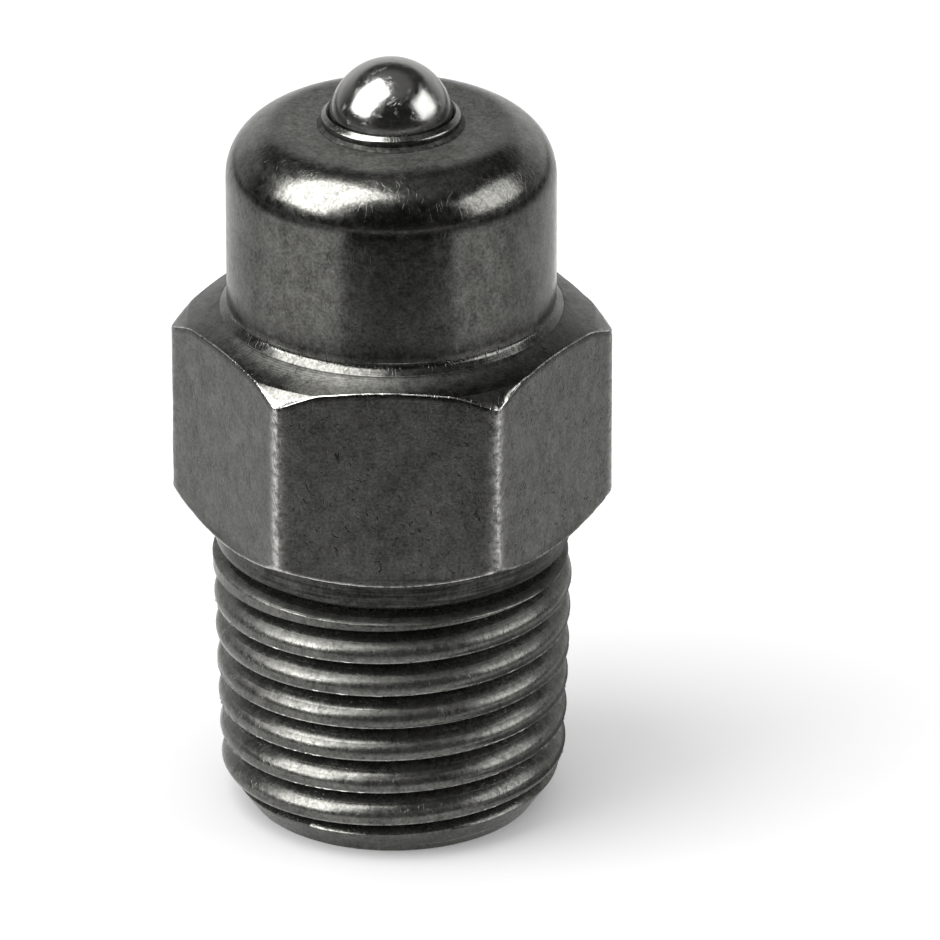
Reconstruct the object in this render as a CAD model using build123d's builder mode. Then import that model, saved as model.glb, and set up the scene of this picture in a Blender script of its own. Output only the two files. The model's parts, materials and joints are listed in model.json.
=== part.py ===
"""Taper-thread grease nipple with a rolled-lip ball check.

Three pieces: the steel body (head, hexagon and threaded shank turned from one bar), the check ball held
by the body's rolled lip, and the compression spring that presses the ball up against that lip.
Millimetres, +Z up. The origin is on the axis, at the end face of the shank.
"""

import os
from math import atan, cos, degrees, radians, sqrt, tan

from build123d import *

# ---- Driving dimensions, in millimetres and degrees ----

# Hexagon
across_flats = 14.0
hexagon_edge = 6.4  # straight length of each corner edge
turning_allowance = 0.3  # the cones are turned out past the corners, then the flats cut them off
top_chamfer = 26.0  # slope of the cone over the hexagon, up to the neck's flare
blunting_chamfer = 36.0  # slope of the short cone that blunts the top corners
blunting_width = 0.5  # how far that cone runs in from the corners
bottom_chamfer = 31.0  # slope of the cone under the bottom corners
bearing_radius = 6.9  # flat ring under the hexagon

# Threaded shank: 1:16 taper pipe thread, 1/4 size, right-hand
shank_length = 11.5  # end face to the underside of the hexagon
thread_pitch = 1.337
gauge_diameter = 13.157  # full major diameter at the gauge plane
gauge_length = 6.0  # gauge plane above the end face
taper_ratio = 1 / 16  # on the diameter
flank_angle = 27.5  # half of the 55 degree thread angle
thread_depth = 0.766  # truncated crest to root; the groove is drawn with a sharp bottom
crest_truncation = 0.09  # rolled off each crest, on the radius
cutter_overlap = 0.15  # the cutter's mouth reaches this far out past the crests
lead_in = 1.173  # the groove's first turn begins this far below the end face
groove_end_height = 9.86  # centre of the groove where it runs out in the relief
end_face_radius = 5.3
end_chamfer = 55.0  # between the chamfer and the end face

# Relief groove and plain collar between the thread and the hexagon
collar_radius = 6.5
collar_height = 1.0
relief_radius = 5.8
relief_width = 0.2  # flat bottom of the relief
relief_wall = 0.2  # axial run of the wall up to the collar
relief_flank = 16.5  # between the relief's lower side and the axis

# Head
head_diameter = 12.0
head_length = 8.2  # hexagon's top corners to the flat of the head
shoulder_radius = 2.0
neck_flare = 43.0  # slope of the flare between the head's wall and the cone over the hexagon
neck_flare_width = 0.7  # how far it reaches out from the wall

# Ball, its rolled lip and its pocket
ball_diameter = 4.5
ball_rise = 0.2  # ball centre above the flat of the head
seat_clearance = 0.02
lip_reach = 0.42  # lip's inner edge above the ball centre
lip_radius = 2.55
lip_slope = 35.0
lip_foot_width = 0.35  # cone that leads from the flat of the head up to the lip
lip_foot_height = 0.2
pocket_radius = 2.45
throat_length = 0.3  # cone from the pocket in to the ball seat

# Spring and the bore under it
spring_floor_depth = 11.8  # flat of the head down to the step that carries the spring
wire_diameter = 0.6
spring_radius = 1.7  # to the middle of the wire
wire_sides = 6  # the wire's section is drawn with this many flats
spring_turns = 5
spring_clearance = 0.02
outlet_radius = 1.5
outlet_chamfer = 0.4

# ---- Worked-out places ----

corner_radius = across_flats / sqrt(3)
blank_radius = corner_radius + turning_allowance
head_radius = head_diameter / 2
blunting_radius = corner_radius - blunting_width
neck_flare_radius = head_radius + neck_flare_width
ball_radius = ball_diameter / 2

lower_corner_height = shank_length + (corner_radius - bearing_radius) * tan(radians(bottom_chamfer))
upper_corner_height = lower_corner_height + hexagon_edge
head_top = upper_corner_height + head_length
blunting_height = upper_corner_height + blunting_width * tan(radians(blunting_chamfer))
flare_height = blunting_height + (blunting_radius - neck_flare_radius) * tan(radians(top_chamfer))
neck_height = flare_height + neck_flare_width * tan(radians(neck_flare))

collar_bottom = shank_length - collar_height
relief_top = collar_bottom - relief_wall
relief_bottom = relief_top - relief_width

ball_height = head_top + ball_rise
seat_radius = ball_radius + seat_clearance
lip_edge_height = ball_height + lip_reach
lip_edge_radius = sqrt(seat_radius**2 - lip_reach**2)
lip_rim_height = lip_edge_height - (lip_radius - lip_edge_radius) * tan(radians(lip_slope))
spring_floor = head_top - spring_floor_depth


def crest_radius(height):
    """Radius of the thread's crests at a height above the end face."""
    return gauge_diameter / 2 - crest_truncation + (height - gauge_length) * taper_ratio / 2


def root_radius(height):
    """Radius of the thread's roots at a height above the end face."""
    return crest_radius(height) - thread_depth


# The chamfer runs from the end face out to the crest cone
chamfer_rise = (crest_radius(0) - end_face_radius) / (1 / tan(radians(end_chamfer)) - taper_ratio / 2)
# The relief's lower flank climbs from its flat bottom out to the crest cone
relief_drop = (crest_radius(relief_bottom) - relief_radius) / (1 / tan(radians(relief_flank)) + taper_ratio / 2)

# ---- Body ----

# Outline of the turned blank from the end face up to the lip, each corner with its own rounding
outline = [
    ((0, 0), None),
    ((end_face_radius, 0), 0),
    ((crest_radius(chamfer_rise), chamfer_rise), 0),
    ((crest_radius(relief_bottom - relief_drop), relief_bottom - relief_drop), 0),
    ((relief_radius, relief_bottom), 0),
    ((relief_radius, relief_top), 0),
    ((collar_radius, collar_bottom), 0),
    ((collar_radius, shank_length), 0),
    ((bearing_radius, shank_length), 0),
    ((blank_radius, lower_corner_height + turning_allowance * tan(radians(bottom_chamfer))), 0),
    ((blank_radius, upper_corner_height - turning_allowance * tan(radians(blunting_chamfer))), 0),
    ((blunting_radius, blunting_height), 0),
    ((neck_flare_radius, flare_height), 0),
    ((head_radius, neck_height), 0),
    ((head_radius, head_top), shoulder_radius),
    ((lip_radius + lip_foot_width, head_top), 0),
    ((lip_radius, head_top + lip_foot_height), 0),
    ((lip_radius, lip_rim_height), 0),
    ((lip_edge_radius, lip_edge_height), 0),
    ((0, lip_edge_height), None),
]
corners = [point for point, rounding in outline]
roundings = [rounding for point, rounding in outline if rounding is not None]

with BuildPart() as blank:
    with BuildSketch(Plane.XZ):
        with BuildLine():
            FilletPolyline(*corners, radius=roundings)
            Line(corners[-1], corners[0])
        make_face()
    revolve(axis=Axis.Z)
    # Six flats: the rest of the blank is narrower than the hexagon
    with BuildSketch():
        RegularPolygon(radius=across_flats / 2, side_count=6, major_radius=False)
    extrude(amount=lip_edge_height, mode=Mode.INTERSECT)

# The thread groove's cross-section, from its root out past the crests
cutter_depth = thread_depth + cutter_overlap
mouth_width = 2 * cutter_depth * tan(radians(flank_angle))
cone_angle = degrees(atan(taper_ratio / 2))


def cut_groove(start_height, turns):
    """Cut some turns of the thread groove into the part being built, starting over the +X axis."""
    with BuildLine() as groove:
        Helix(
            pitch=thread_pitch / cos(radians(cone_angle)),  # a tapered helix takes its pitch along the cone
            height=turns * thread_pitch,
            radius=root_radius(start_height),
            center=(0, 0, start_height),
            cone_angle=cone_angle,
        )
    with BuildSketch(Plane(origin=groove.line @ 0, x_dir=(1, 0, 0), z_dir=groove.line % 0)) as section:
        with BuildLine():
            Polyline(
                (0, 0),
                (cutter_depth, mouth_width / 2),
                (cutter_depth, -mouth_width / 2),
                close=True,
            )
        make_face()
    sweep(section.sketch, path=groove.line, is_frenet=True, mode=Mode.SUBTRACT)


with BuildPart() as body:
    add(blank)
    # The groove is cut a turn at a time, and ends part of the way round in the relief
    groove_turns = (groove_end_height + lead_in) / thread_pitch
    for turn in range(int(groove_turns)):
        cut_groove(turn * thread_pitch - lead_in, 1)
    cut_groove(int(groove_turns) * thread_pitch - lead_in, groove_turns - int(groove_turns))
    # Stepped bore: outlet, spring chamber, then in to the ball's seat under the lip
    with BuildSketch(Plane.XZ):
        with BuildLine():
            Polyline(
                (0, lip_edge_height),
                (0, 0),
                (outlet_radius + outlet_chamfer, 0),
                (outlet_radius, outlet_chamfer),
                (outlet_radius, spring_floor),
                (pocket_radius, spring_floor),
                (pocket_radius, ball_height - throat_length),
                (seat_radius, ball_height),
            )
            seat = CenterArc(
                (0, ball_height), seat_radius, 0, degrees(atan(lip_reach / lip_edge_radius))
            )
            Line(seat @ 1, (0, lip_edge_height))
        make_face()
    revolve(axis=Axis.Z, mode=Mode.SUBTRACT)
body.part.label = "body"

# ---- Ball ----

with BuildPart() as ball:
    with Locations((0, 0, ball_height)):
        Sphere(ball_radius)
ball.part.label = "ball"

# ---- Spring ----

wire_radius = wire_diameter / 2
lower_ring = spring_floor + spring_clearance + wire_radius
ring_corner = wire_radius / cos(radians(180 / wire_sides))
ring_reach = ball_radius + ring_corner + spring_clearance
upper_ring = ball_height - sqrt(ring_reach**2 - spring_radius**2)
coil_rise = upper_ring - lower_ring

with BuildPart() as spring:
    with BuildLine() as coil:
        Helix(
            pitch=coil_rise / spring_turns,
            height=coil_rise,
            radius=spring_radius,
            center=(0, 0, lower_ring),
        )
    with BuildSketch(Plane(origin=coil.line @ 0, x_dir=(1, 0, 0), z_dir=coil.line % 0)):
        RegularPolygon(radius=wire_radius, side_count=wire_sides)
    sweep(path=coil.line, is_frenet=True)
    # The closed end turn at each end lies flat, as a ring whose flats touch the round wire from outside
    with BuildSketch(Plane.XZ):
        with Locations((spring_radius, lower_ring), (spring_radius, upper_ring)):
            RegularPolygon(radius=wire_radius, side_count=wire_sides, major_radius=False)
    revolve(axis=Axis.Z)
spring.part.label = "spring"

# ---- Write one STEP file a piece ----

os.makedirs("parts", exist_ok=True)
export_step(body.part, "parts/body.step")
export_step(ball.part, "parts/ball.step")
export_step(spring.part, "parts/spring.step")
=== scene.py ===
"""Looks of a taper-thread grease nipple: a dark steel body, its check ball and the spring under the ball.

All outlines are worked out in millimetres, in the part's own frame (+Z up the axis, the end face at zero),
and turned into metres where a mesh is made.
"""

import json
import math

import bmesh
import bpy
import numpy as np
from bpy.props import FloatProperty, FloatVectorProperty, IntProperty, PointerProperty
from mathutils import Matrix, Vector, noise


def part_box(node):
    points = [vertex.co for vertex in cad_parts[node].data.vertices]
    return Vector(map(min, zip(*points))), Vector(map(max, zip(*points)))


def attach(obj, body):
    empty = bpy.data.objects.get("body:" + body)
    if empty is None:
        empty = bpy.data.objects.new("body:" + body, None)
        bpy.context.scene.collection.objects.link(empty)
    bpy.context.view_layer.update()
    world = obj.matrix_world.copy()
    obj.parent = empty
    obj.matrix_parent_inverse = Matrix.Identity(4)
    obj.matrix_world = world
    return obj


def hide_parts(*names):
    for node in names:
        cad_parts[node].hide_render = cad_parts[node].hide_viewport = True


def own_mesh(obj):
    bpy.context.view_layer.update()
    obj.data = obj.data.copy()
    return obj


bl_info = {
    "name": "Grease Nipple Looks",
    "version": (1, 0, 0),
    "blender": (4, 5, 0),
    "location": "3D View > Sidebar > Grease Nipple",
    "description": "Dresses a packed grease nipple: body, ball, spring and a small studio",
    "category": "Object",
}

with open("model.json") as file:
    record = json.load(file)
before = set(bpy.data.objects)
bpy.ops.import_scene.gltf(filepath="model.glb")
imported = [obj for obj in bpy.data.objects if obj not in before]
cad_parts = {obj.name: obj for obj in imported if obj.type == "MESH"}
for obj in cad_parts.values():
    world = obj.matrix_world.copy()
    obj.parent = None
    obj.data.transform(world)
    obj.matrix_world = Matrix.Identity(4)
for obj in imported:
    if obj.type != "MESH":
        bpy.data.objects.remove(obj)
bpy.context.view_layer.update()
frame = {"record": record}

MM = 0.001  # one millimetre in scene units
FITTING = "fitting"
CHECK_BALL = "check_ball"

# ---- Sizes of the solids, in millimetres, read from the frame where it holds them ----

body_low, body_high = (np.array(corner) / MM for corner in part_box("body"))
ball_low, ball_high = (np.array(corner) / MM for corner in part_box("ball"))
SPRING_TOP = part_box("spring")[1][2] / MM
mounts = {mount["name"]: mount for mount in frame["record"]["mounts"]}

ACROSS_FLATS = body_high[1] - body_low[1]
CORNER_RADIUS = ACROSS_FLATS / math.sqrt(3)
HEXAGON_EDGE = 6.4
BLUNT_SLOPE = math.tan(math.radians(40))  # the steeper cone that blunts the top corners
BLUNT_WIDTH = 0.66
BLUNT_ROUNDING = 0.03
TOP_SLOPE = 0.2  # rise of the surface inside it, per millimetre, at its outer edge
TOP_CURVE = 0.19  # how that surface steepens towards the neck
BOTTOM_SLOPE = math.tan(math.radians(31))
BEARING_RADIUS = 6.9
SHANK_LENGTH = 11.5

PITCH = 1.337
GAUGE_DIAMETER = 13.157
CREST_TRUNCATION = 0.09
CREST_AT_GAUGE = GAUGE_DIAMETER / 2 - CREST_TRUNCATION
GAUGE_LENGTH = 6.0
TAPER = 1 / 32  # on the radius
FLANK = math.tan(math.radians(27.5))
THREAD_HEIGHT = 0.766
CREST_TOP = 0.19  # from the lower edge of a crest up to its widest place
CREST_CURVE = 1.19  # how fast the rounded crest falls away, per millimetre
ROOT_ROUNDING = 0.12
LOWER_ROOT_ROUNDING = 0.1  # where the root meets the flank under it
EDGE_PHASE = 0.3073  # from a groove's middle up to the lower edge of the crest over it, in turns
ROOT_PLACE = 0.75  # from that edge up to the middle of the next root, in turns
THREAD_ROWS = (0, 0.012, 0.03, 0.06, 0.1, 0.14, 0.18, 0.22, 0.26, 0.3, 0.34, 0.38, 0.42, 0.46, 0.5, 0.55, 0.6, 0.66,
               0.73, 0.8, 0.88, 0.96, 0.985)
LEAD_IN = 1.173
GROOVE_END = 9.86
GROOVE_FADE = 0.12  # length over which the groove runs out, in turns
END_FACE_RADIUS = 5.3
END_CHAMFER = math.tan(math.radians(55))
END_ROUNDING = 0.08

COLLAR_RADIUS = 6.5
COLLAR_HEIGHT = 1.0
COLLAR_BOTTOM = SHANK_LENGTH - COLLAR_HEIGHT
RELIEF_RADIUS = 5.8
RELIEF_WALL = 0.2
RELIEF_WIDTH = 0.2
RELIEF_TOP = COLLAR_BOTTOM - RELIEF_WALL
RELIEF_BOTTOM = RELIEF_TOP - RELIEF_WIDTH
RELIEF_SLOPE = 3.4
RELIEF_ROUNDING = 0.1
RUN_OUT_ROUNDING = 0.3  # where the thread runs out into the relief

HEAD_RADIUS = mounts["coupler_head"]["dims"]["r_mm"]
SHOULDER_RADIUS = 2.0
NECK_RADIUS = 0.25
NECK_BAND_RADIUS = 6.2
NECK_BAND_SLOPE = math.tan(math.radians(44))
NECK_GROOVE_WIDTH = 0.12
NECK_GROOVE_DEPTH = 0.02

CLEARANCE = 0.02  # round the ball in its seat, and under the spring
BALL_RISE = 0.2  # ball's middle over the flat of the head
BALL_RADIUS = (ball_high[0] - ball_low[0]) / 2
BALL_HEIGHT = ball_high[2] - BALL_RADIUS
HEAD_TOP = BALL_HEIGHT - BALL_RISE
SEAT_RADIUS = BALL_RADIUS + CLEARANCE
LIP_RADIUS = 2.55
LIP_SLOPE = math.tan(math.radians(36))
LIP_HEIGHT = 0.5
LIP_TOP = HEAD_TOP + LIP_HEIGHT
LIP_TOP_RADIUS = 2.35
LIP_ROUNDING = 0.12
LIP_UNDERCUT = 0.02  # the lip's foot is narrower than its rim by this much
SEAT_RISE = 0.2  # ball's middle up to where the lip's inner side comes down to the ball
LIP_FOOT_WIDTH = 0.08
LIP_FOOT_RADIUS = 0.12
LIP_FOOT_HEIGHT = 0.3  # painted shade round the lip's foot reaches up to here
POCKET_RADIUS = 2.45
THROAT_LENGTH = 0.3
OUTLET_RADIUS = mounts["grease_outlet"]["dims"]["r_mm"]
OUTLET_CHAMFER = 0.4
STEP_CORNER = 0.05  # blunted corner round the step that carries the spring
STEP_EDGE = 0.03  # blunted edge of that step
SPRING_DEPTH = 11.8  # flat of the head down to the step that carries the spring
SPRING_FLOOR = HEAD_TOP - SPRING_DEPTH
SPRING_RADIUS = 1.7
WIRE_RADIUS = 0.3

LOWER_CORNER = SHANK_LENGTH + (CORNER_RADIUS - BEARING_RADIUS) * BOTTOM_SLOPE
UPPER_CORNER = LOWER_CORNER + HEXAGON_EDGE
NECK_RISE = 1.42  # hexagon's top corners up to the foot of the head's wall
NECK_HEIGHT = UPPER_CORNER + NECK_RISE
NECK_SHADE_HEIGHT = 0.7  # how far up the wall the painted shade at the neck reaches

# ---- Sizes and colours that a user would change ----


class BodyLooks(bpy.types.PropertyGroup):
    """Edges and steel of the turned body."""

    edge_rounding: FloatProperty(
        name="Edge Rounding", description="Radius on the curved edges of the hexagon, in millimetres", default=0.08
    )
    corner_rounding: FloatProperty(
        name="Corner Rounding",
        description="Radius on the hexagon's six upright corners, in millimetres",
        default=0.35,
    )
    nick_depth: FloatProperty(
        name="Nick Depth", description="Deepest nick in the hexagon's edges, in millimetres", default=0.05
    )
    steel: FloatVectorProperty(
        name="Steel",
        description="Colour of the dark satin surface",
        subtype="COLOR",
        default=(0.1025, 0.102, 0.0945),
    )
    rubbed: FloatVectorProperty(
        name="Rubbed Steel",
        description="Colour where edges are rubbed bare",
        subtype="COLOR",
        default=(0.62, 0.61, 0.585),
    )
    roughness: FloatProperty(name="Roughness", description="Satin of the dark surface", default=0.21)
    oxide: FloatProperty(name="Oxide", description="Share of dull oxide on the thread", default=0.06)


class BallLooks(bpy.types.PropertyGroup):
    """Steel of the check ball."""

    steel: FloatVectorProperty(
        name="Steel", description="Colour of the ball", subtype="COLOR", default=(0.25, 0.249, 0.239)
    )
    roughness: FloatProperty(name="Roughness", description="Dullness of the ground surface", default=0.18)


class SpringLooks(bpy.types.PropertyGroup):
    """Wire of the spring."""

    turns: IntProperty(name="Turns", description="Free turns between the two closed end turns", default=5)
    steel: FloatVectorProperty(
        name="Wire", description="Colour of the drawn wire", subtype="COLOR", default=(0.4, 0.4, 0.41)
    )


class StudioLooks(bpy.types.PropertyGroup):
    """Floor, lamps and camera."""

    floor: FloatVectorProperty(
        name="Floor", description="Colour of the floor", subtype="COLOR", default=(0.2, 0.2, 0.2)
    )
    glow: FloatProperty(name="Floor Glow", description="How much the floor shines by itself", default=0.09)
    left_power: FloatProperty(name="Left Softbox", description="Brightness of the large left softbox", default=12.5)
    right_power: FloatProperty(name="Right Softbox", description="Brightness of the right softbox", default=4.3)


# ---- Mesh helpers ----

MERGE_DISTANCE = 0.001
SHARP_ANGLE = math.radians(38)  # a corner steeper than this is shaded as an edge


def make_mesh_object(name, points, faces, attributes=None):
    """A smooth-shaded mesh object from points in millimetres, merged where they meet.

    attributes holds lists of values by name, with a value for each point.
    """
    mesh = bpy.data.meshes.new(name)
    mesh.from_pydata([tuple(float(value) * MM for value in point) for point in points], [], faces)
    for key, values in (attributes or {}).items():
        layer = mesh.attributes.new(key, "FLOAT", "POINT")
        layer.data.foreach_set("value", np.asarray(values, np.float32).ravel())
    shape = bmesh.new()
    shape.from_mesh(mesh)
    bmesh.ops.remove_doubles(shape, verts=shape.verts, dist=MERGE_DISTANCE * MM)
    bmesh.ops.recalc_face_normals(shape, faces=shape.faces)
    shape.to_mesh(mesh)
    shape.free()
    mesh.polygons.foreach_set("use_smooth", [True] * len(mesh.polygons))
    mesh.set_sharp_from_angle(angle=SHARP_ANGLE)
    mesh.update()
    piece = bpy.data.objects.new(name, mesh)
    bpy.context.scene.collection.objects.link(piece)
    return piece


def smooth_min(a, b, width):
    """The smaller of a and b, rounded over where they cross."""
    overlap = np.maximum(width - np.abs(a - b), 0) / width
    return np.minimum(a, b) - overlap**2 * width / 4


def smooth_max(a, b, width):
    """The larger of a and b, rounded over where they cross."""
    return -smooth_min(-a, -b, width)


def fillet(before, corner, after, radius, steps):
    """Points of the arc that rounds a corner between two straight runs."""
    before, corner, after = (np.array(point, float) for point in (before, corner, after))
    inward = (before - corner) / np.linalg.norm(before - corner)
    outward = (after - corner) / np.linalg.norm(after - corner)
    half_angle = math.acos(np.clip(inward @ outward, -1, 1)) / 2
    reach = radius / math.tan(half_angle)
    bisector = (inward + outward) / np.linalg.norm(inward + outward)
    centre = corner + bisector * radius / math.sin(half_angle)
    start = corner + inward * reach - centre
    end = corner + outward * reach - centre
    turn = math.acos(np.clip(start @ end / radius**2, -1, 1))
    arc = []
    for step in range(steps + 1):
        share = step / steps
        spoke = (math.sin((1 - share) * turn) * start + math.sin(share * turn) * end) / math.sin(turn)
        arc.append(tuple(centre + spoke))
    return arc


def run(start, end, steps):
    """Evenly spaced points between start and end, without those two."""
    start, end = np.array(start), np.array(end)
    return [tuple(start + (end - start) * step / steps) for step in range(1, steps)]


# ---- Body ----

# Wear and painted shade of the mesh: how strong they are, and how far they reach from an edge
CORNER_WEAR = 0.8
WORN_CORNER = 1.6  # degrees round the axis
BLUNTED_CORNER = 3.2  # degrees round the axis
LOWER_BLUNTING = 2.6  # how much rounder the lower edge gets at a corner
UPPER_BLUNTING = 0.8  # how much rounder the upper edge gets there
NICK_DROP = 0.3  # a nick in the top edge also goes down by this share of its depth
CREST_WEAR = 0.4
WORN_CREST = 0.025  # turns
# Width of the painted shade in each root of the thread
SHADED_ROOT = 0.12  # turns
THREAD_START = 0.3  # the thread is worn, and painted with shade in its roots, from here
THREAD_STOP = RELIEF_BOTTOM - 0.25  # up to here
CREST_STOP = RELIEF_BOTTOM - 0.7  # the wear has faded out here
CREST_FADE = 0.5  # length over which it does
LIP_WEAR = 0.1

# Degrees of the mesh's columns from a corner of the hexagon to the middle of a flat
SECTOR_ANGLES = (0, 0.25, 0.5, 0.75, 1.0, 1.3, 1.7, 2.4, 3.4, 4.6, 6, 7.5, 9, 11, 13, 15, 17, 19, 21, 23, 25, 27, 30)


def column_angles():
    """Angles of the mesh's columns once round the axis, close together at the hexagon's six corners."""
    half = list(SECTOR_ANGLES)
    sector = half + [60 - angle for angle in reversed(half[1:-1])]
    return np.radians([60 * side + angle for side in range(6) for angle in sector] + [360])


def angle_from_corner(angle):
    """Degrees from an angle round the axis to the nearest corner of the hexagon."""
    return abs((np.degrees(angle) + 30) % 60 - 30)


def hexagon_radius(angle, rounding):
    """Distance from the axis to the side of the hexagon with its rounded corners."""
    from_corner = np.radians(angle_from_corner(angle))
    from_flat = math.radians(30) - from_corner
    apothem = ACROSS_FLATS / 2
    flat_ends = math.atan((apothem - rounding) * math.tan(math.radians(30)) / apothem)
    if from_flat <= flat_ends:
        return apothem / math.cos(from_flat)
    centre = (apothem - rounding) / math.cos(math.radians(30))
    return centre * math.cos(from_corner) + math.sqrt(rounding**2 - (centre * math.sin(from_corner)) ** 2)


def crest_radius(height):
    """Radius of the thread's crests at a height."""
    return CREST_AT_GAUGE + (height - GAUGE_LENGTH) * TAPER


def thread_rise(above_edge):
    """Height of the thread over its root, at a distance above the lower edge of its crest."""
    rounded = THREAD_HEIGHT - (above_edge - CREST_TOP) ** 2 * CREST_CURVE
    lower_flank = THREAD_HEIGHT - (PITCH - above_edge) / FLANK
    return smooth_max(smooth_max(rounded, np.zeros_like(rounded), ROOT_ROUNDING), lower_flank, LOWER_ROOT_ROUNDING)


def shank_radius(height, angle):
    """Radius of the shank at arrays of heights and angles, from the end face up to the hexagon."""
    turns = (height + LEAD_IN) / PITCH - angle / (2 * math.pi)
    since_edge = (turns - EDGE_PHASE) % 1
    rise = thread_rise(since_edge * PITCH)
    # The groove fades out where it runs into the relief
    along = turns - EDGE_PHASE - since_edge + 1 + angle / (2 * math.pi)
    groove_turns = (GROOVE_END + LEAD_IN) / PITCH
    fade = np.clip((groove_turns + GROOVE_FADE / 2 - along) / GROOVE_FADE, 0, 1)
    threaded = crest_radius(height) + (rise - THREAD_HEIGHT) * fade
    lower_side = np.maximum(RELIEF_RADIUS + (RELIEF_BOTTOM - height) * RELIEF_SLOPE, RELIEF_RADIUS)
    upper_side = RELIEF_RADIUS + (height - RELIEF_TOP) * (COLLAR_RADIUS - RELIEF_RADIUS) / RELIEF_WALL
    collar = smooth_min(upper_side, np.full_like(height, COLLAR_RADIUS), RELIEF_ROUNDING)
    relief = smooth_max(lower_side, collar, RELIEF_ROUNDING)
    radius = np.where(height > RELIEF_BOTTOM, relief, smooth_min(threaded, lower_side, RUN_OUT_ROUNDING))
    return smooth_min(radius, END_FACE_RADIUS + height / END_CHAMFER, END_ROUNDING)


def bore_outline():
    """Section of the seat, pocket, spring chamber and outlet, from the lip's edge down to the end face."""
    seat_angle = math.asin(SEAT_RISE / SEAT_RADIUS)
    seat = [(LIP_TOP_RADIUS, LIP_TOP)]
    for share in (1, 0.75, 0.5, 0.25, 0):
        angle = seat_angle * share
        seat.append((SEAT_RADIUS * math.cos(angle), BALL_HEIGHT + SEAT_RADIUS * math.sin(angle)))
    return seat + [
        (POCKET_RADIUS, BALL_HEIGHT - THROAT_LENGTH),
        (POCKET_RADIUS, (BALL_HEIGHT + SPRING_FLOOR) / 2),
        (POCKET_RADIUS, SPRING_FLOOR + STEP_CORNER),
        (POCKET_RADIUS - STEP_CORNER, SPRING_FLOOR),
        (OUTLET_RADIUS + STEP_EDGE, SPRING_FLOOR),
        (OUTLET_RADIUS, SPRING_FLOOR - STEP_EDGE),
        (OUTLET_RADIUS, SPRING_FLOOR / 2),
        (OUTLET_RADIUS, OUTLET_CHAMFER),
        (OUTLET_RADIUS + OUTLET_CHAMFER, 0),
    ]


def hexagon_top(radius):
    """Height of the hexagon's top: a shallow dish up to the neck, and the steeper cone that blunts its corners."""
    inside = CORNER_RADIUS - BLUNT_WIDTH - radius
    blunted = inside * BLUNT_SLOPE
    dished = inside * TOP_SLOPE + max(inside, 0.0) ** 2 * TOP_CURVE
    return UPPER_CORNER + BLUNT_WIDTH * BLUNT_SLOPE + float(smooth_min(blunted, dished, BLUNT_ROUNDING))


def head_outline():
    """Section from the neck up the head, over the shoulder and the lip's foot to the lip's edge."""
    band_foot = (NECK_BAND_RADIUS, hexagon_top(NECK_BAND_RADIUS))
    band_top = (HEAD_RADIUS, band_foot[1] + (NECK_BAND_RADIUS - HEAD_RADIUS) * NECK_BAND_SLOPE)
    groove = []
    for share, depth in ((1, 0), (0.85, 0.35), (0.6, 1), (0.4, 1), (0.15, 0.3)):
        place = NECK_BAND_RADIUS + NECK_GROOVE_WIDTH * share
        groove.append((place, hexagon_top(place) - NECK_GROOVE_DEPTH * depth))
    neck = fillet(band_foot, band_top, (HEAD_RADIUS, HEAD_TOP), NECK_RADIUS, 10)
    shoulder = fillet((HEAD_RADIUS, NECK_HEIGHT), (HEAD_RADIUS, HEAD_TOP), (0, HEAD_TOP), SHOULDER_RADIUS, 22)
    wall = run(neck[-1], (HEAD_RADIUS, NECK_HEIGHT + 2 * NECK_SHADE_HEIGHT), 6)
    wall += run((HEAD_RADIUS, NECK_HEIGHT + 1.9 * NECK_SHADE_HEIGHT), shoulder[0], 6)
    lip_edge = (LIP_TOP_RADIUS, LIP_TOP)
    under_rim = (LIP_RADIUS - LIP_UNDERCUT, HEAD_TOP + LIP_FOOT_HEIGHT / 2)
    rim_corner = (LIP_RADIUS, LIP_TOP - (LIP_RADIUS - LIP_TOP_RADIUS) * LIP_SLOPE)
    foot = fillet((HEAD_RADIUS, HEAD_TOP), (LIP_RADIUS + LIP_FOOT_WIDTH, HEAD_TOP), under_rim, LIP_FOOT_RADIUS, 8)
    rim = [under_rim] + fillet(under_rim, rim_corner, lip_edge, LIP_ROUNDING, 6)
    top = run(shoulder[-1], foot[0], 4)
    return groove + [band_foot] + neck + wall + shoulder + top + foot + rim + run(rim[-1], lip_edge, 3) + [lip_edge]


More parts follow.
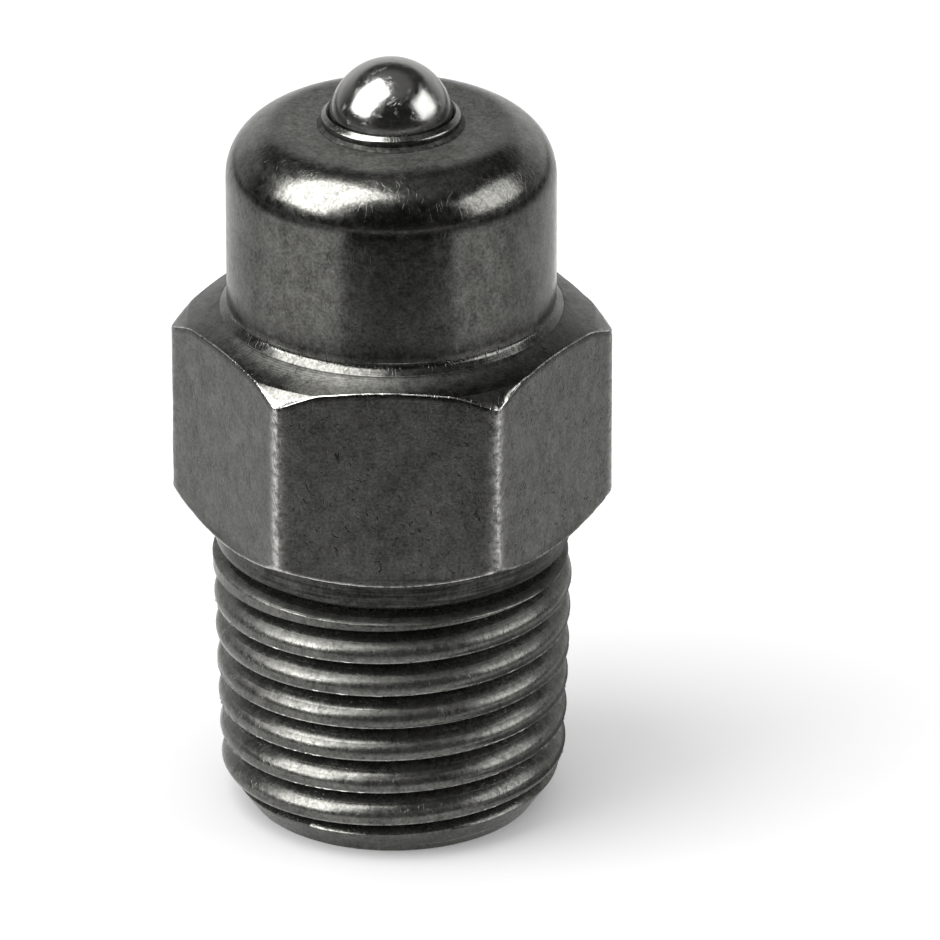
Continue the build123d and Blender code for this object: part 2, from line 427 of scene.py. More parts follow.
def hexagon_column(angle, looks):
    """Section of the hexagon at one angle, from the bearing ring to the neck: radius, height, wear and painted shade.
    """
    radius = hexagon_radius(angle, looks.corner_rounding)
    from_corner = angle_from_corner(angle)
    blunted = math.exp(-((from_corner / BLUNTED_CORNER) ** 2))
    worn = CORNER_WEAR * math.exp(-((from_corner / WORN_CORNER) ** 2))
    lower = (radius, SHANK_LENGTH + (radius - BEARING_RADIUS) * BOTTOM_SLOPE)
    upper = (radius, hexagon_top(radius))
    # A place on the cone below the lower edge, and one on the top inside the upper edge
    below = (BEARING_RADIUS - 0.3, SHANK_LENGTH - 0.3 * BOTTOM_SLOPE)
    inside = (radius - 0.5, hexagon_top(radius - 0.5))
    low_edge = fillet(below, lower, upper, looks.edge_rounding * (1 + LOWER_BLUNTING * blunted), 5)
    top_edge = fillet(lower, upper, inside, looks.edge_rounding * (1 + UPPER_BLUNTING * blunted), 5)

    # Bearing ring and the cone up to the lower edge, painted with shade under the hexagon
    ring = np.array((BEARING_RADIUS - 0.04, SHANK_LENGTH + 0.004))
    column = [(BEARING_RADIUS - 0.2, SHANK_LENGTH, 0, 0.5), (*ring, 0.1, 0.4)]
    for share, painted_shade in ((0.4, 0.5), (0.85, 0.3)):
        column.append((*(ring * (1 - share) + np.array(low_edge[0]) * share), 0, painted_shade))

    # Lower edge, side and upper edge
    column += [(*place, wear, 0) for place, wear in zip(low_edge, (0.5, 0.8, 1, 1, 0.8, 0.45))]
    side_low, side_high = low_edge[-1][1] + 0.2, top_edge[0][1] - 0.2
    side = [side_low + (side_high - side_low) * share for share in (0, 0.25, 0.5, 0.75)] + [side_high]
    column += [(radius, height, worn, 0) for height in [low_edge[-1][1] + 0.07] + side]
    # Painted shadow: a dark line along and just under the upper edge, fainter where the corner is worn
    column.append((radius, top_edge[0][1] - 0.09, worn, 0.8 * (1 - worn)))
    top_wear = (worn, worn, 0.3 + 0.7 * worn, 0.9, 1, 0.4)
    top_painted_shade = (1 - worn, 1 - worn, 0.5 * (1 - worn), 0, 0, 0)
    column += [(*place, wear, painted_shade) for place, wear, painted_shade in zip(top_edge, top_wear, top_painted_shade)]

    # Top, with rows close together where its two cones meet
    start, end = top_edge[-1][0], NECK_BAND_RADIUS + NECK_GROOVE_WIDTH
    meeting = np.clip((start - CORNER_RADIUS + BLUNT_WIDTH) / (start - end), 0, 0.4)
    for share in (meeting * 0.4, meeting - 0.02, meeting, meeting + 0.02, 0.45, 0.55, 0.65, 0.75, 0.9):
        place = start + (end - start) * max(share, 0.01)
        column.append((place, hexagon_top(place), 0, 0))
    return column


def bore_rows(angles):
    """Rows of the bore and the end face, down to the edge of the end chamfer."""
    level = np.ones(len(angles))
    rows = [(level * radius, level * height, 0, 0) for radius, height in bore_outline()]
    rows += [(level * radius, level * 0, 0, 0) for radius in (2.8, 4.2)]
    rows.append((shank_radius(level * 0, angles), level * 0, 0, 0))
    return rows


def thread_rows(angles):
    """Rows of the threaded shank: they follow the helix, and stop at the end face and in the relief."""
    rows = []
    for turn in range(-2, math.ceil((RELIEF_BOTTOM + LEAD_IN) / PITCH) + 1):
        for share in THREAD_ROWS:
            turns = turn + EDGE_PHASE + share + angles / (2 * math.pi)
            height = np.clip(turns * PITCH - LEAD_IN, 0, RELIEF_BOTTOM)
            wear = CREST_WEAR * math.exp(-((min(share, 1 - share) / WORN_CREST) ** 2))
            # Painted shade in each root of the thread
            painted_shade = math.exp(-(((share - ROOT_PLACE) / SHADED_ROOT) ** 2))
            on_thread = (height > THREAD_START) & (height < THREAD_STOP)
            full = np.clip((CREST_STOP - height) / CREST_FADE, 0, 1)
            rows.append((shank_radius(height, angles), height, wear * on_thread * full, painted_shade * on_thread))
    return rows


def upper_rows(angles, looks):
    """Rows of the relief, collar, hexagon, neck, head and lip."""
    level = np.ones(len(angles))
    rows = []
    relief_heights = np.linspace(RELIEF_BOTTOM, COLLAR_BOTTOM + 0.06, 9)
    collar_heights = [COLLAR_BOTTOM + COLLAR_HEIGHT * share for share in (0.4, 0.8, 1)]
    # The relief and the collar get painted shade at half strength
    for height in (*relief_heights, *collar_heights):
        rows.append((shank_radius(level * height, angles), level * height, 0, 0.5))
    columns = np.array([hexagon_column(angle, looks) for angle in angles])
    for radius, height, wear, painted_shade in columns.transpose(1, 2, 0):
        depth = looks.nick_depth * wear * edge_nicks(radius, height, angles)
        on_top_edge = height > UPPER_CORNER - 1
        rows.append((radius - depth, height - depth * NICK_DROP * on_top_edge, wear, painted_shade))
    for radius, height in head_outline():
        on_lip = height > LIP_TOP - 0.2
        # Painted shade at the lip's foot, and on the head's wall just over the neck
        at_foot = HEAD_TOP < height < HEAD_TOP + LIP_FOOT_HEIGHT + 0.01
        above_neck = (height - NECK_HEIGHT) / NECK_SHADE_HEIGHT
        at_neck = math.exp(-(above_neck**2)) if above_neck > 0 else 0
        rows.append((level * radius, level * height, LIP_WEAR * on_lip, max(at_neck, at_foot)))
    return rows


def build_body(looks):
    """The body's mesh, from three grids round the axis, each point with its wear and painted shade."""
    angles = column_angles()
    count = len(angles)
    points, faces, wears, painted_shades = [], [], [], []
    for rows in (bore_rows(angles), thread_rows(angles), upper_rows(angles, looks)):
        first = len(points)
        for radius, height, wear, painted_shade in rows:
            points += list(zip(radius * np.cos(angles), radius * np.sin(angles), height))
            wears += list(np.broadcast_to(wear, count))
            painted_shades += list(np.broadcast_to(painted_shade, count))
        for row in range(len(rows) - 1):
            for column in range(count - 1):
                corner = first + row * count + column
                faces.append((corner, corner + 1, corner + count + 1, corner + count))
    return make_mesh_object("nipple_body", points, faces, {"wear": wears, "painted_shade": painted_shades})


def edge_nicks(radius, height, angles):
    """How deep each point of an edge is nicked, from 0 to 1."""
    depths = []
    for place in zip(radius * np.cos(angles), radius * np.sin(angles), height):
        coarse = noise.noise(Vector(place) * 1.3)
        fine = noise.noise(Vector(place) * 4.7)
        depths.append(min(max(coarse * 0.8 + fine, 0.0), 1.0))
    return np.array(depths)


# ---- Materials ----

WHITE = (1, 1, 1, 1)
TURNING_FEED = 0.09  # millimetres between two turning marks
CONE_FADE = (7.3, 6.5)  # radii between which the turning marks over the hexagon come in
FLAT_FADE = (4.6, 3.9)  # radii between which the duller flat of the head comes in


def new_material(name):
    """An empty node material, with its tree and its output."""
    material = bpy.data.materials.new(name)
    material.use_nodes = True
    tree = material.node_tree
    tree.nodes.clear()
    output = tree.nodes.new("ShaderNodeOutputMaterial")
    return material, tree, output


def add_node(tree, kind, links=None, **settings):
    """A node with its settings, and its inputs set to a value or linked from a socket."""
    node = tree.nodes.new(kind)
    for key, value in settings.items():
        setattr(node, key, value)
    for key, value in (links or {}).items():
        if isinstance(value, bpy.types.NodeSocket):
            tree.links.new(value, node.inputs[key])
        else:
            node.inputs[key].default_value = value
    return node


def maths(tree, operation, *values, clamp=False):
    """Result of a Math node."""
    node = add_node(tree, "ShaderNodeMath", dict(enumerate(values)), operation=operation, use_clamp=clamp)
    return node.outputs[0]


def remap(tree, value, low, high, to_low=0.0, to_high=1.0):
    """Value mapped from one range to another, and held at its ends."""
    links = {"Value": value, "From Min": low, "From Max": high, "To Min": to_low, "To Max": to_high}
    return add_node(tree, "ShaderNodeMapRange", links).outputs["Result"]


def mix_colour(tree, factor, first, second):
    """Two colours mixed by a factor."""
    return add_node(tree, "ShaderNodeMix", {0: factor, 6: first, 7: second}, data_type="RGBA").outputs[2]


def mix_value(tree, factor, first, second):
    """Two values mixed by a factor."""
    return add_node(tree, "ShaderNodeMix", {0: factor, 2: first, 3: second}).outputs[0]


def noise_value(tree, place, scale, detail=2.0, roughness=0.5, distortion=0.0):
    """Grey noise at a place."""
    links = {"Vector": place, "Scale": scale, "Detail": detail, "Roughness": roughness, "Distortion": distortion}
    return add_node(tree, "ShaderNodeTexNoise", links).outputs["Fac"]


def stretched(tree, place, factors):
    """A place scaled differently along each axis."""
    return add_node(tree, "ShaderNodeMapping", {"Vector": place, "Scale": factors}).outputs["Vector"]


def product(tree, *values):
    """Values multiplied together."""
    result = values[0]
    for value in values[1:]:
        result = maths(tree, "MULTIPLY", result, value)
    return result


def total(tree, *values):
    """Values added up."""
    result = values[0]
    for value in values[1:]:
        result = maths(tree, "ADD", result, value)
    return result


def less(tree, value, share):
    """1 less a share of a value."""
    return maths(tree, "SUBTRACT", 1.0, product(tree, value, share))


def millimetre_place(tree):
    """Object coordinates in millimetres."""
    place = add_node(tree, "ShaderNodeTexCoord").outputs["Object"]
    return stretched(tree, place, (1000, 1000, 1000))


def place_parts(tree, place):
    """X, height and distance from the axis of a place."""
    x, y, height = add_node(tree, "ShaderNodeSeparateXYZ", {"Vector": place}).outputs
    radius = maths(tree, "SQRT", total(tree, product(tree, x, x), product(tree, y, y)))
    return x, height, radius


def opaque(colour):
    """A colour with full alpha."""
    return (*colour, 1.0)


def contour_lines(tree, value, count, width):
    """Thin lines where a value passes whole steps: 1 on a line, 0 between lines."""
    folded = maths(tree, "PINGPONG", product(tree, value, count), 0.5)
    return remap(tree, folded, width, 0.0)


def scattered(tree, place, scale, least):
    """Distance to the nearest of many scattered points, and its size: 0 for a share of them, up to 1 for the rest."""
    cells = add_node(tree, "ShaderNodeTexVoronoi", {"Vector": place, "Scale": scale, "Randomness": 1.0})
    share = add_node(tree, "ShaderNodeSeparateColor", {"Color": cells.outputs["Color"]}).outputs[0]
    return cells.outputs["Distance"], remap(tree, share, least, 1.0)


def shaded(tree, colour, shade):
    """A plain colour made lighter or darker by a value."""
    return add_node(tree, "ShaderNodeVectorMath", {0: colour, "Scale": shade}, operation="SCALE").outputs[0]


def raised(tree, relief, strength, distance):
    """Normal of a surface with a fine relief, its height given in metres."""
    links = {"Strength": strength, "Distance": distance, "Height": relief}
    return add_node(tree, "ShaderNodeBump", links).outputs["Normal"]


def show_surface(tree, output, links):
    """A principled surface on the output."""
    shader = add_node(tree, "ShaderNodeBsdfPrincipled", links)
    tree.links.new(shader.outputs[0], output.inputs["Surface"])


def show_glow(tree, output, strength):
    """A white glow on the output."""
    glow = add_node(tree, "ShaderNodeEmission", {"Color": WHITE, "Strength": strength})
    tree.links.new(glow.outputs[0], output.inputs["Surface"])


def body_steel(looks):
    """Dark satin steel, scratched and pitted, rubbed bare on its edges."""
    material, tree, output = new_material("body_steel")
    place = millimetre_place(tree)
    _, height, radius = place_parts(tree, place)
    wear = add_node(tree, "ShaderNodeAttribute", attribute_name="wear").outputs["Fac"]
    # Painted shade, carried by the mesh
    painted_shade = add_node(tree, "ShaderNodeAttribute", attribute_name="painted_shade").outputs["Fac"]

    # Where the surface is turned: the shank, the cone over the hexagon, and the head
    normal = add_node(tree, "ShaderNodeNewGeometry").outputs["Normal"]
    facing_up = add_node(tree, "ShaderNodeSeparateXYZ", {"Vector": normal}).outputs[2]
    past_head = maths(tree, "GREATER_THAN", radius, HEAD_RADIUS + 0.03)
    on_top = product(tree, past_head, remap(tree, facing_up, 0.5, 0.7))
    on_head = maths(tree, "GREATER_THAN", height, NECK_HEIGHT)
    on_shank = maths(tree, "LESS_THAN", height, SHANK_LENGTH)
    turned = maths(tree, "MAXIMUM", maths(tree, "MAXIMUM", on_top, on_head), product(tree, on_shank, 0.8))
    past_neck = product(tree, maths(tree, "GREATER_THAN", radius, NECK_BAND_RADIUS + 0.05), on_top)
    on_cone = product(tree, remap(tree, radius, *CONE_FADE), past_neck)

    # Flat of the head, with the foot beside the lip
    beside_lip = product(
        tree,
        maths(tree, "GREATER_THAN", radius, LIP_RADIUS - 0.04),
        maths(tree, "LESS_THAN", height, HEAD_TOP + LIP_FOOT_HEIGHT),
    )
    on_flat = product(tree, remap(tree, radius, *FLAT_FADE), beside_lip)
    on_flat = product(tree, on_flat, maths(tree, "GREATER_THAN", height, HEAD_TOP - 0.2))

    # Cloudy tone and fine grain
    cloud = noise_value(tree, place, 0.8, 5, 0.62)
    grain = noise_value(tree, place, 9, 3, 0.65)
    mottle = noise_value(tree, stretched(tree, place, (1.0, 1.0, 0.7)), 2.6, 2, 0.6, 0.5)
    tone = total(
        tree,
        remap(tree, cloud, 0.3, 0.7, 0.78, 1.2),
        remap(tree, mottle, 0.32, 0.68, -0.2, 0.2),
        remap(tree, grain, 0.36, 0.64, -0.3, 0.3),
    )

    # Swirling rub marks, in patches, and long thin scratches, nearly upright; both fewer where it is turned
    fewer = less(tree, turned, 0.85)
    swirls = contour_lines(tree, noise_value(tree, place, 1.15, 1.5, 0.5, 0.6), 26, 0.11)
    swirls = product(tree, swirls, remap(tree, noise_value(tree, place, 2.3, 2), 0.42, 0.62), fewer)
    leaning = add_node(tree, "ShaderNodeMapping", {"Vector": place, "Rotation": (0.22, 0.16, 0.0)}).outputs["Vector"]
    leaning = stretched(tree, leaning, (1.5, 1.5, 0.32))
    scratches = contour_lines(tree, noise_value(tree, leaning, 1.2, 1.6, 0.5), 8, 0.055)
    scratches = product(tree, scratches, remap(tree, noise_value(tree, place, 0.9, 1.5, 0.5), 0.42, 0.5), fewer)

    # Small pits with ragged rims
    distance, size = scattered(tree, place, 0.95, 0.75)
    size = maths(tree, "SUBTRACT", size, product(tree, on_shank, 0.4))
    ragged = total(tree, distance, remap(tree, grain, 0.3, 0.7, 0, 0.06))
    pits = maths(tree, "LESS_THAN", ragged, product(tree, size, 0.07))

    # Colour: the tone with its marks and painted shade, the collar painted darker with its turned rings, and bare
    # steel on worn edges
    dark_marks = maths(tree, "MAXIMUM", product(tree, scratches, 0.75), product(tree, pits, 0.85))
    ragged_painted_shade = remap(tree, noise_value(tree, place, 3.5, 3, 0.6), 0.35, 0.55, 0.6, 1.0)
    painted_shade = maths(tree, "MULTIPLY", painted_shade, ragged_painted_shade, clamp=True)
    shade = total(tree, tone, product(tree, swirls, 0.05))
    # Painted shade: surfaces facing up outside the head are darkened by 30%
    for marks, share in ((dark_marks, 1.0), (on_top, 0.3), (painted_shade, 0.75)):
        shade = product(tree, shade, less(tree, marks, share))
    # Painted shade on the collar under the hexagon, broken into streaky turned rings
    rings = noise_value(tree, stretched(tree, place, (0.35, 0.35, 9.0)), 1.0, 3, 0.65)
    over_relief = remap(tree, height, COLLAR_BOTTOM - 0.5, COLLAR_BOTTOM)
    on_collar = product(tree, over_relief, remap(tree, height, LOWER_CORNER, SHANK_LENGTH + 0.2))
    shade = mix_value(tree, on_collar, shade, product(tree, shade, remap(tree, rings, 0.38, 0.6, 0.3, 0.85)))
    ragged_wear = remap(tree, noise_value(tree, place, 4.2, 3, 0.65), 0.3, 0.62)
    rubbed = maths(tree, "MULTIPLY", wear, ragged_wear, clamp=True)
    colour = mix_colour(tree, rubbed, shaded(tree, looks.steel, shade), opaque(looks.rubbed))

    uneven = noise_value(tree, place, 3.1, 3, 0.6)
    roughness = total(
        tree,
        remap(tree, uneven, 0.3, 0.7, looks.roughness - 0.06, looks.roughness + 0.07),
        product(tree, rubbed, -0.05),
        product(tree, on_shank, 0.05),
        product(tree, on_cone, 0.22),
        product(tree, on_flat, 0.38),
    )

    # Relief: grain, swirls, scratches, pits, and turning marks on the cone
    plainer = less(tree, turned, 0.75)
    turning = maths(tree, "SINE", product(tree, radius, 2 * math.pi / TURNING_FEED))
    relief = total(
        tree,
        product(tree, grain, 0.6, plainer),
        product(tree, noise_value(tree, place, 3.2, 3, 0.6), 0.5, plainer),
        product(tree, swirls, 0.25),
        product(tree, scratches, -1.0),
        product(tree, pits, -1.5),
        product(tree, turning, on_cone, 0.08),
    )
    metallic = less(tree, on_shank, looks.oxide)
    normal = raised(tree, relief, 0.6, 0.02 * MM)
    links = {"Base Color": colour, "Metallic": metallic, "Roughness": roughness, "Normal": normal}
    show_surface(tree, output, links)
    return material


def ball_steel(looks):
    """Ground steel, with a few pits and fine rub marks."""
    material, tree, output = new_material("ball_steel")
    place = millimetre_place(tree)
    grain = noise_value(tree, place, 12, 3, 0.6)
    swirls = contour_lines(tree, noise_value(tree, place, 1.6, 1.5, 0.5, 0.5), 18, 0.1)
    swirls = product(tree, swirls, remap(tree, noise_value(tree, place, 2.6, 2), 0.5, 0.62))
    distance, size = scattered(tree, place, 1.7, 0.6)
    pits = maths(tree, "LESS_THAN", distance, product(tree, size, 0.11))
    shade = total(tree, remap(tree, grain, 0.3, 0.7, 0.94, 1.06), product(tree, pits, -0.5))
    uneven = noise_value(tree, place, 3, 3)
    relief = total(tree, product(tree, grain, 0.5), product(tree, swirls, 0.5), product(tree, pits, -1.0))
    colour = shaded(tree, looks.steel, shade)
    roughness = remap(tree, uneven, 0.3, 0.7, looks.roughness - 0.05, looks.roughness + 0.06)
    normal = raised(tree, relief, 0.5, 0.01 * MM)
    links = {"Base Color": colour, "Metallic": 1.0, "Roughness": roughness, "Normal": normal}
    show_surface(tree, output, links)
    return material


def spring_steel(looks):
    """Drawn wire."""
    material, tree, output = new_material("spring_steel")
    roughness = remap(tree, noise_value(tree, millimetre_place(tree), 6, 2), 0.3, 0.7, 0.28, 0.42)
    show_surface(tree, output, {"Base Color": opaque(looks.steel), "Metallic": 1.0, "Roughness": roughness})
    return material


def floor_paper(looks):
    """Matt paper that glows a little by itself."""
    material, tree, output = new_material("floor_paper")
    paper = add_node(tree, "ShaderNodeBsdfDiffuse", {"Color": opaque(looks.floor)})
    glow = add_node(tree, "ShaderNodeEmission", {"Color": WHITE, "Strength": looks.glow})
    added = add_node(tree, "ShaderNodeAddShader", {0: paper.outputs[0], 1: glow.outputs[0]})
    tree.links.new(added.outputs[0], output.inputs["Surface"])
    return material


def flag_painted_reflection(name, reach, glow):
    """Glow of a flag, a painted reflection: along X it goes from its first to its second level, over a reach in
    millimetres.
    """
    material, tree, output = new_material(name)
    x, _, _ = place_parts(tree, millimetre_place(tree))
    show_glow(tree, output, remap(tree, x, *reach, *glow))
    return material


def front_painted_reflection():
    """Glow of the flag in front, a painted reflection: grey in the middle, paler to both sides, and nearly black far
    from the part.
    """
    material, tree, output = new_material("front_flag_painted_reflection")
    x, _, radius = place_parts(tree, millimetre_place(tree))
    beside = maths(tree, "ABSOLUTE", maths(tree, "SUBTRACT", x, FRONT_FLAG_MIDDLE))
    sideways = remap(tree, beside, 10, 32, 0.6, 1.05)
    show_glow(tree, output, product(tree, sideways, remap(tree, radius, 46, 56, 1.0, 0.03)))
    return material


# ---- Ball and spring ----


def build_ball():
    """A fine sphere of squares: a cube's grid blown up to the ball."""
    steps = 40  # squares along an edge of the cube
    points, faces, index = [], [], {}
    for axis in range(3):
        for side in (-1, 1):
            ids = []
            for row in range(steps + 1):
                for column in range(steps + 1):
                    u = math.tan((row / steps - 0.5) * math.pi / 2)
                    v = math.tan((column / steps - 0.5) * math.pi / 2)
                    corner = [0.0, 0.0, 0.0]
                    corner[axis] = side
                    corner[(axis + 1) % 3] = u * side
                    corner[(axis + 2) % 3] = v
                    direction = np.array(corner) / np.linalg.norm(corner)
                    key = tuple(np.round(direction, 6))
                    if key not in index:
                        index[key] = len(points)
                        points.append(direction * BALL_RADIUS + np.array([0, 0, BALL_HEIGHT]))
                    ids.append(index[key])
            for row in range(steps):
                for column in range(steps):
                    first = row * (steps + 1) + column
                    faces.append((ids[first], ids[first + steps + 1], ids[first + steps + 2], ids[first + 1]))
    return make_mesh_object("steel_ball", points, faces)


def build_spring(looks):
    """Round wire in free turns, with a closed turn lying flat at each end."""
    low = SPRING_FLOOR + CLEARANCE + WIRE_RADIUS
    high = SPRING_TOP - WIRE_RADIUS
    closed_rise = 2 * WIRE_RADIUS * 1.02  # a little more than the wire, so that closed turns don't touch
    around, across = 48, 14
    steps = (looks.turns + 2) * around
    centres = []
    for step in range(steps + 1):
        turn = step / around
        if turn < 1:
            height = low + closed_rise * turn
        elif turn > looks.turns + 1:
            height = high - closed_rise * (looks.turns + 2 - turn)
        else:
            height = low + closed_rise + (high - low - 2 * closed_rise) * (turn - 1) / looks.turns
        centres.append((turn * 2 * math.pi, height))
    points, faces = [], []
    for angle, height in centres:
        for corner in range(across):
            swing = 2 * math.pi * corner / across
            reach = SPRING_RADIUS + WIRE_RADIUS * math.cos(swing)
            points.append((reach * math.cos(angle), reach * math.sin(angle), height + WIRE_RADIUS * math.sin(swing)))
    for step in range(steps):
        here, there = step * across, (step + 1) * across
        for corner in range(across):
            beside = (corner + 1) % across
            faces.append((here + corner, there + corner, there + beside, here + beside))
    faces.append(tuple(range(across)))
    faces.append(tuple(steps * across + corner for corner in reversed(range(across))))
    return make_mesh_object("coil_spring", points, faces)


# ---- Studio ----

# Camera, in millimetres: a long lens from the front, a little over 25 degrees above the part
CAMERA_PLACE = (12.402, -422.526, 215.428)
CAMERA_TURN = 1.2956  # degrees to the left about the vertical
CAMERA_TILT = 25.5977  # degrees below the horizon
CAMERA_ROLL = -0.032  # degrees
LENS = 490.72
SENSOR_WIDTH = 36
PART_MIDDLE = (0, 0, 14)
FLOOR_REACH = 3000

# World: its light on matt surfaces, and its glow in reflections
AMBIENT = 3.4
BASE_GLOW = (0.03, 0.09)  # in front, and behind the part
BAND_GLOW = 0.95
BAND_HEIGHT = 0.2  # upward part of the direction to the band's middle
OVERHEAD_GLOW = 0.25

# Softboxes round the part: direction, direction of the width, and width and height in metres
SOFTBOX_DISTANCE = 0.45
LEFT_SOFTBOX = ((-0.59, -0.25, 0.77), (0.417, -0.909, 0.0), (0.34, 0.53))
RIGHT_SOFTBOX = ((0.89, -0.13, 0.46), (0.14, 0.99, 0.0), (0.33, 0.27))

# Flag in front of the part, in millimetres
FRONT_FLAG = [(-13, -17, 0.5), (18, -17, 0.5), (290, -330, 0.5), (-180, -330, 0.5)]
FRONT_FLAG_MIDDLE = 4  # its greyest place along X

# More flags that only the part's reflections see, lying just over the floor: their limits along X and along Y, their
# height, the places along X where the glow starts and stops changing, and the glow there
FLAGS = {
    "left_flag": ((-900, -85), (-330, 300), 0.3, (-90, -140), (0.9, 0.08)),
    "back_flag": ((-85, -14), (3, 300), 0.35, (-14, -85), (0.92, 0.92)),
    "near_flag": ((7, 20), (-12, 25), 0.4, (7, 20), (0.1, 0.45)),
    "right_flag": ((20, 900), (-8, 300), 0.3, (55, 120), (0.82, 0.08)),
    "side_flag": ((20, 900), (-330, -8), 0.3, (55, 120), (1.1, 0.08)),
}


def standing_at(place, right, up, back):
    """Matrix of an object at a place, with its own X, Y and Z along three directions."""
    rows = [(right[row], up[row], back[row], place[row]) for row in range(3)]
    return Matrix(rows + [(0, 0, 0, 1)])


def make_camera():
    """The camera of the studio."""
    tilt, roll, turn = (math.radians(angle) for angle in (CAMERA_TILT, CAMERA_ROLL, CAMERA_TURN))
    forward = Vector((0, math.cos(tilt), -math.sin(tilt)))
    right = Vector((1, 0, 0))
    up = right.cross(forward)
    rolled_right = math.cos(roll) * right + math.sin(roll) * up
    rolled_up = math.cos(roll) * up - math.sin(roll) * right
    round_axis = Matrix.Rotation(turn, 3, "Z")
    axes = [round_axis @ axis for axis in (rolled_right, rolled_up, -forward)]
    data = bpy.data.cameras.new("studio_camera")
    data.sensor_width = SENSOR_WIDTH
    data.lens = LENS
    data.clip_start = 0.01
    data.clip_end = 20
    camera = bpy.data.objects.new("studio_camera", data)
    camera.matrix_world = standing_at(Vector(CAMERA_PLACE) * MM, *axes)
    bpy.context.scene.collection.objects.link(camera)
    bpy.context.scene.camera = camera


def make_softbox(name, direction, across, size, brightness):
    """A rectangular lamp that faces the part. size is its width along across, and its height."""
    facing = Vector(direction).normalized()
    width_axis = (Vector(across) - facing * Vector(across).dot(facing)).normalized()
    data = bpy.data.lights.new(name, "AREA")
    data.shape = "RECTANGLE"
    data.size, data.size_y = size
    data.energy = brightness * size[0] * size[1] * math.pi
    lamp = bpy.data.objects.new(name, data)
    place = Vector(PART_MIDDLE) * MM + facing * SOFTBOX_DISTANCE
    lamp.matrix_world = standing_at(place, width_axis, facing.cross(width_axis), facing)
    bpy.context.scene.collection.objects.link(lamp)


def make_world():
    """White for the camera. In reflections a pale band behind the part, and dim in front and overhead."""
    world = bpy.data.worlds.new("studio_world")
    world.use_nodes = True
    tree = world.node_tree
    tree.nodes.clear()
    rays = add_node(tree, "ShaderNodeLightPath").outputs
    direction = add_node(tree, "ShaderNodeTexCoord").outputs["Generated"]
    _, y, z = add_node(tree, "ShaderNodeSeparateXYZ", {"Vector": direction}).outputs
    base = remap(tree, y, -0.1, 0.6, *BASE_GLOW)
    from_band = maths(tree, "ABSOLUTE", maths(tree, "SUBTRACT", z, BAND_HEIGHT))
    band = product(tree, remap(tree, from_band, 0.33, 0.24), remap(tree, y, 0.3, 0.85))
    overhead = remap(tree, z, 0.78, 0.88, 0.0, OVERHEAD_GLOW)
    reflected = total(tree, base, overhead, product(tree, band, BAND_GLOW))
    mirror_rays = maths(tree, "MAXIMUM", rays["Is Glossy Ray"], rays["Is Transmission Ray"])
    ambient = product(tree, rays["Is Diffuse Ray"], AMBIENT)
    strength = total(tree, product(tree, mirror_rays, reflected), rays["Is Camera Ray"], ambient)
    sky = add_node(tree, "ShaderNodeBackground", {"Color": WHITE, "Strength": strength})
    add_node(tree, "ShaderNodeOutputWorld", {"Surface": sky.outputs[0]})
    bpy.context.scene.world = world


def level_corners(along_x, along_y, height):
    """Corners of a level rectangle from its limits along X and along Y."""
    (left, right), (front, back) = along_x, along_y
    return [(left, front, height), (right, front, height), (right, back, height), (left, back, height)]


def make_plane(name, corners, material):
    """A flat stage piece with its corners given in millimetres."""
    mesh = bpy.data.meshes.new(name)
    mesh.from_pydata([tuple(value * MM for value in corner) for corner in corners], [], [(0, 1, 2, 3)])
    mesh.materials.append(material)
    plane = bpy.data.objects.new(name, mesh)
    bpy.context.scene.collection.objects.link(plane)
    return plane


# ---- Operators ----


def dress(piece, material, body, slot, *nodes):
    """Gives a piece its material and body, and hides the solids that it stands for. slot is not used."""
    piece.data.materials.append(material)
    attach(piece, body)
    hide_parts(*nodes)


class NIPPLE_OT_body(bpy.types.Operator):
    """Build the turned body with its hexagon, thread and rolled lip"""

    bl_idname = "nipple.body"
    bl_label = "Build Body"

    def execute(self, context):
        looks = context.scene.nipple_body
        dress(build_body(looks), body_steel(looks), FITTING, "body_steel", "body")
        return {"FINISHED"}


class NIPPLE_OT_ball(bpy.types.Operator):
    """Build the check ball"""

    bl_idname = "nipple.ball"
    bl_label = "Build Ball"

    def execute(self, context):
        dress(build_ball(), ball_steel(context.scene.nipple_ball), CHECK_BALL, "ball_steel", "ball")
        return {"FINISHED"}


class NIPPLE_OT_spring(bpy.types.Operator):
    """Build the spring under the ball"""

    bl_idname = "nipple.spring"
    bl_label = "Build Spring"

    def execute(self, context):
        looks = context.scene.nipple_spring
        spring = build_spring(looks)
        dress(spring, spring_steel(looks), FITTING, "spring_steel", "spring")
        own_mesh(spring)
        return {"FINISHED"}


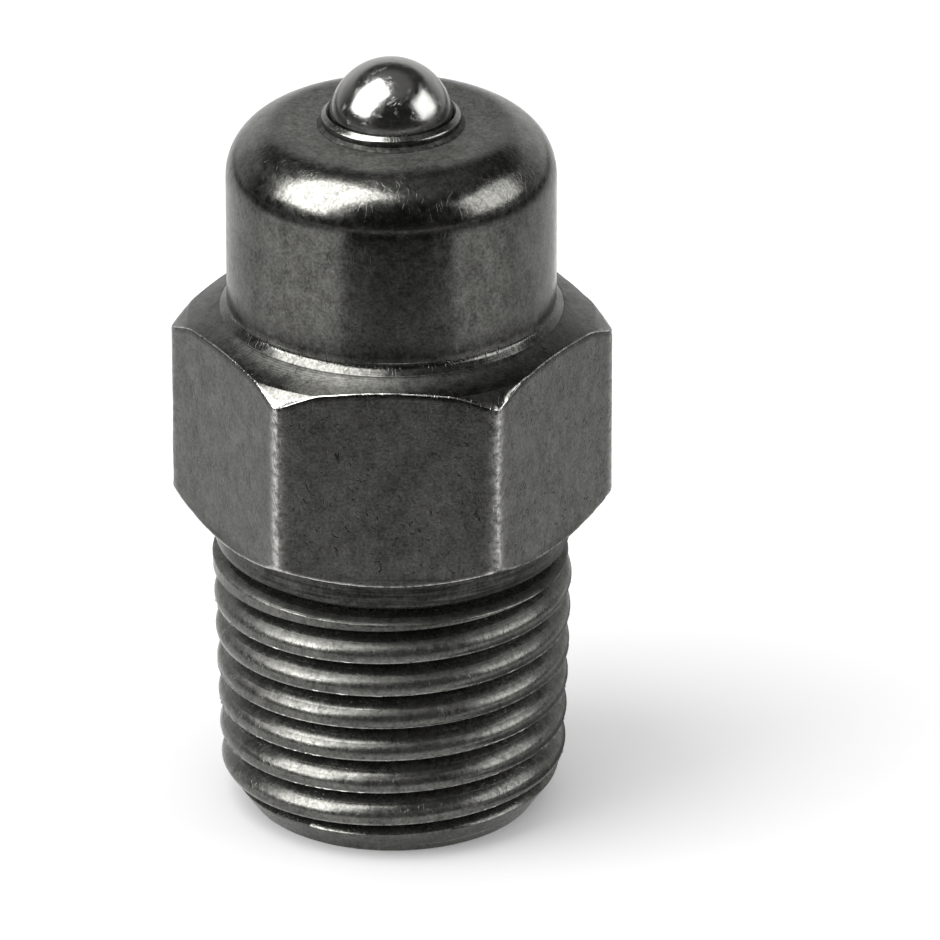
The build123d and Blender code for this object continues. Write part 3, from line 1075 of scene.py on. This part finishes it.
class NIPPLE_OT_studio(bpy.types.Operator):
    """Set out the floor, the softboxes, the flags and the camera"""

    bl_idname = "nipple.studio"
    bl_label = "Set Out Studio"

    def execute(self, context):
        looks = context.scene.nipple_studio
        context.scene.view_settings.view_transform = "Standard"
        make_camera()
        make_world()
        limits = (-FLOOR_REACH, FLOOR_REACH)
        make_plane("floor", level_corners(limits, limits, 0), floor_paper(looks))
        flags = [make_plane("front_flag", FRONT_FLAG, front_painted_reflection())]
        for name, (along_x, along_y, height, reach, glow) in FLAGS.items():
            painted_reflection = flag_painted_reflection(name + "_painted_reflection", reach, glow)
            flags.append(make_plane(name, level_corners(along_x, along_y, height), painted_reflection))
        # The flags glow only in reflections: painted reflections, unseen by the camera, lighting nothing and casting
        # no shadow
        for flag in flags:
            flag.visible_camera = False
            flag.visible_diffuse = False
            flag.visible_shadow = False
        make_softbox("left_softbox", *LEFT_SOFTBOX, looks.left_power)
        make_softbox("right_softbox", *RIGHT_SOFTBOX, looks.right_power)
        return {"FINISHED"}


class NIPPLE_PT_looks(bpy.types.Panel):
    """Sizes, colours and steps of the grease nipple"""

    bl_idname = "NIPPLE_PT_looks"
    bl_label = "Grease Nipple"
    bl_space_type = "VIEW_3D"
    bl_region_type = "UI"
    bl_category = "Grease Nipple"

    def draw(self, context):
        for group, operator in STEPS:
            box = self.layout.box()
            looks = getattr(context.scene, group)
            for name in looks.bl_rna.properties.keys():
                if name not in ("rna_type", "name"):
                    box.prop(looks, name)
            box.operator(operator)


GROUPS = {
    "nipple_body": BodyLooks,
    "nipple_ball": BallLooks,
    "nipple_spring": SpringLooks,
    "nipple_studio": StudioLooks,
}
STEPS = (
    ("nipple_studio", "nipple.studio"),
    ("nipple_body", "nipple.body"),
    ("nipple_ball", "nipple.ball"),
    ("nipple_spring", "nipple.spring"),
)
CLASSES = (
    *GROUPS.values(),
    NIPPLE_OT_body,
    NIPPLE_OT_ball,
    NIPPLE_OT_spring,
    NIPPLE_OT_studio,
    NIPPLE_PT_looks,
)


def register():
    """Registers the classes and hangs each group of looks on the scene."""
    for item in CLASSES:
        bpy.utils.register_class(item)
    for name, group in GROUPS.items():
        setattr(bpy.types.Scene, name, PointerProperty(type=group))


def unregister():
    """Takes the groups and the classes away again."""
    for name in GROUPS:
        delattr(bpy.types.Scene, name)
    for item in reversed(CLASSES):
        bpy.utils.unregister_class(item)


def main():
    """Builds everything in order."""
    register()
    for name in ("studio", "body", "ball", "spring"):
        getattr(bpy.ops.nipple, name)()


if __name__ == "__main__":
    main()
